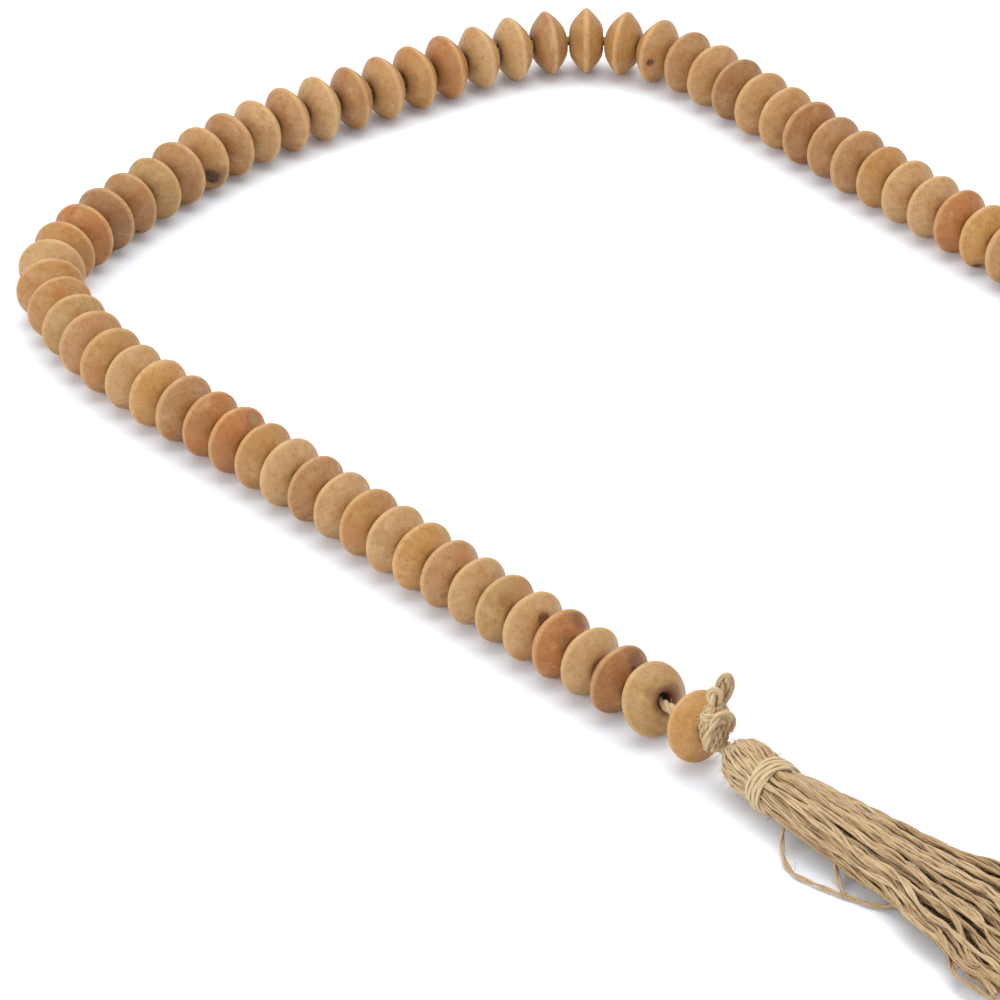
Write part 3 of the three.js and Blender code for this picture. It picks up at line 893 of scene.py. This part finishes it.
def knot_paths():
    """The bundle's yarns, drawn down into the neck."""
    paths = []
    count = 15
    for number in range(count):
        around = TURN * number / count
        path = []
        steps = 20
        for step in range(steps + 1):
            latitude = math.radians(-84 + 150 * step / steps)
            wander = 0.12 * noise.noise(Vector((number * 2.7, step * 0.15, 4)))
            turn = around + 0.5 * math.sin(latitude) + wander
            reach = 0.84 - 0.06 * (number % 2)
            path.append(point(knot_point(
                KNOT_SIZE.x * reach * math.cos(latitude) * math.cos(turn),
                KNOT_SIZE.y * reach * math.cos(latitude) * math.sin(turn),
                KNOT_SIZE.z * 0.94 * math.sin(latitude))))
        paths.append(path)
    return paths


def hood_paths():
    """The strands that arch over the front of the knot, one inside the other, from its left side."""
    paths = []
    for number, (reach, height, low) in enumerate(((3.9, 6.0, -3.6), (3.0, 4.9, -2.4), (2.2, 3.9, 0.2))):
        path = []
        steps = 30
        for step in range(steps + 1):
            share = step / steps
            around = math.pi * (1.04 - 1.12 * share)
            fall = low * max(0, 1 - share * 2.4) ** 1.5
            path.append(point(knot_point(
                reach * math.cos(around), 2.1 + 1.5 * math.sin(around) - 0.2 * number,
                height * math.sin(around) * 0.95 + fall)))
        paths.append(path)
    return paths


def wrap_path():
    """Two turns round the upper part of the knot, under the hood's strands."""
    path = []
    turns = 2
    steps = 32 * turns
    for step in range(steps + 1):
        around = TURN * turns * step / steps
        up = 4.6 - 1.8 * step / steps
        path.append(point(knot_point(
            KNOT_SIZE.x * 0.78 * math.cos(around), KNOT_SIZE.y * 0.72 * math.sin(around),
            up + 0.8 * math.sin(around))))
    return path


def loop_paths():
    """The bight that stands up out of the knot, and a smaller one beside it."""
    paths = []
    for left, low, width, height, lean in ((2.3, 4.6, 1.45, 8.9, 14), (0.5, 4.2, 1.2, 5.6, 2)):
        path = []
        steps = 28
        for step in range(steps + 1):
            around = TURN * (step / steps) - TURN / 4
            across = width * math.cos(around)
            up = height * (0.5 + 0.5 * math.sin(around))
            tilt = math.radians(lean)
            path.append(point(knot_point(left + across * math.cos(tilt) + up * math.sin(tilt),
                                         -0.6 - 0.1 * up + 0.5 * math.sin(around * 2),
                                         low + up * math.cos(tilt) - across * math.sin(tilt))))
        paths.append(path)
    return paths


def overhand_path(middle, scale):
    """A tight overhand knot about a point."""
    path = []
    steps = 90
    for step in range(steps):
        t = TURN * step / steps
        knot = Vector((math.sin(t) + 2 * math.sin(2 * t), math.cos(t) - 2 * math.cos(2 * t),
                       -1.6 * math.sin(3 * t)))
        path.append(point(middle + knot * scale))
    return path


def add_tassel(yarns, jute, tassel, binding):
    """The knot, its loop, and the tassel's head, winding and skirt."""
    knot = joined("tassel_knot_bundle", [
        yarn_mesh(yarns, "knot", knot_paths(), jute, 0.8, lay=5, seed=3, fibres=HEAVY_FUZZ, step=0.6),
        yarn_mesh(yarns, "hood", hood_paths(), jute, 1.0, lay=12, seed=15, fibres=FUZZ, step=0.6),
        yarn_mesh(yarns, "wraps", [wrap_path()], jute, 0.75, lay=8, seed=8, fibres=FUZZ, step=0.6)])
    finished(knot, "jute_twine", "tassel_knot")
    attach(knot, "tassel_knot")
    loop = joined("knot_bight", [
        yarn_mesh(yarns, "loop", loop_paths(), jute, 1.3, lay=15, seed=4, fibres=HEAVY_FUZZ, step=0.5)])
    finished(loop, "jute_twine", "knot_loop")
    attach(loop, "tassel_knot")
    head = joined("tassel_head_yarns", [
        yarn_mesh(yarns, "head", head_paths(46, 0.1) + head_paths(30, 0.2) + head_paths(12, 0.45), jute, 0.68,
                  lay=16, uneven=0.7, seed=5, fibres=FUZZ),
        twine_mesh(yarns, "neck", curve_through(NECK_TWINE, 6), jute, 1.9, seed=21, fibres=FUZZ)])
    finished(head, "tassel_yarn", "tassel_head")
    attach(head, "tassel")
    winding = joined("tassel_winding", [
        yarn_mesh(yarns, "winding", [binding_path()], binding, 0.85, lay=18, uneven=0.15, seed=6,
                  fibres=WINDING_FUZZ, step=0.7)])
    finished(winding, "binding_yarn", "tassel_binding")
    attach(winding, "tassel")
    skirt = joined("tassel_skirt_yarns", [
        yarn_mesh(yarns, "outer", skirt_paths(54, 11), tassel, 0.8, lay=24, sides=5, uneven=0.6, seed=7,
                  fibres=SKIRT_FUZZ, step=1.6),
        yarn_mesh(yarns, "inner", skirt_paths(58, 23) + [curve_through(CROSSING_YARN)], tassel, 0.66,
                  lay=18, sides=5, uneven=0.6, seed=17, fibres=SKIRT_FUZZ, step=1.6)])
    finished(skirt, "tassel_yarn", "tassel_skirt")
    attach(skirt, "tassel")


def add_stray_yarn(yarns, jute):
    """The yarn that has slipped out of the skirt and lies in a bow on the table."""
    path = curve_through(LOOSE_YARN)
    stray = joined("stray_yarn", [
        yarn_mesh(yarns, "stray", [path], jute, STRAY_RADIUS, lay=14, seed=9, fibres=FUZZ)])
    finished(stray, "tassel_yarn", "loose_yarn")
    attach(stray, "tassel")


def add_twine_ends(yarns, jute, middles):
    """The slack twine from the second bead through the first to the knot, and the far end."""
    pins = hinges()
    slack = joined("twine_slack", [
        twine_mesh(yarns, "slack", curve_through(SLACK_TWINE), jute, lay=8, seed=12, fibres=FUZZ)])
    finished(slack, "jute_twine", "stringing_twine")
    pin = pins[frozenset(("bead_02", "tassel_knot"))]
    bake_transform(slack)
    last = "beads_65_66"
    low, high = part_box("stop_knot")
    knot_middle = (low + high) / 2
    pin = pins[frozenset((last, "stop_knot"))]
    path = smooth_path([middles[last], pin, knot_middle], 10)
    end = joined("twine_66_knot", [twine_mesh(yarns, "end", path, jute, seed=66)])
    finished(end, "jute_twine", "stringing_twine")
    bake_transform(end)
    knot_at = knot_middle / MM - LAYOUT_ORIGIN
    knot = joined("stop_knot_twine", [
        twine_mesh(yarns, "stop", overhand_path(knot_at, 0.85), jute, 1.3, seed=13, fibres=FUZZ, step=0.7)])
    finished(knot, "jute_twine", "stop_knot")
    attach(knot, "stop_knot")
    tail = joined("twine_tail_end", [
        twine_mesh(yarns, "tail", curve_through(TWINE_TAIL), jute, seed=14, fibres=FUZZ)])
    finished(tail, "jute_twine", "twine_tail")
    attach(tail, "stop_knot")


add_camera()
add_studio()
bead_nodes = bead_tree()
yarn_nodes = yarn_tree()
bead_wood = wood_material()
pale_jute = jute_material("jute", (212, 187, 146), (190, 158, 113), 0.85)
tassel_jute = jute_material("tassel_yarn", (208, 180, 137), (168, 135, 92), 0.9)
winding_jute = jute_material("winding_yarn", (218, 198, 158), (206, 182, 138), 0.4)
add_stray_yarn(yarn_nodes, tassel_jute)
bead_middles = add_beads_and_twine(bead_nodes, yarn_nodes, bead_wood, pale_jute)
add_tassel(yarn_nodes, pale_jute, tassel_jute, winding_jute)
add_twine_ends(yarn_nodes, pale_jute, bead_middles)
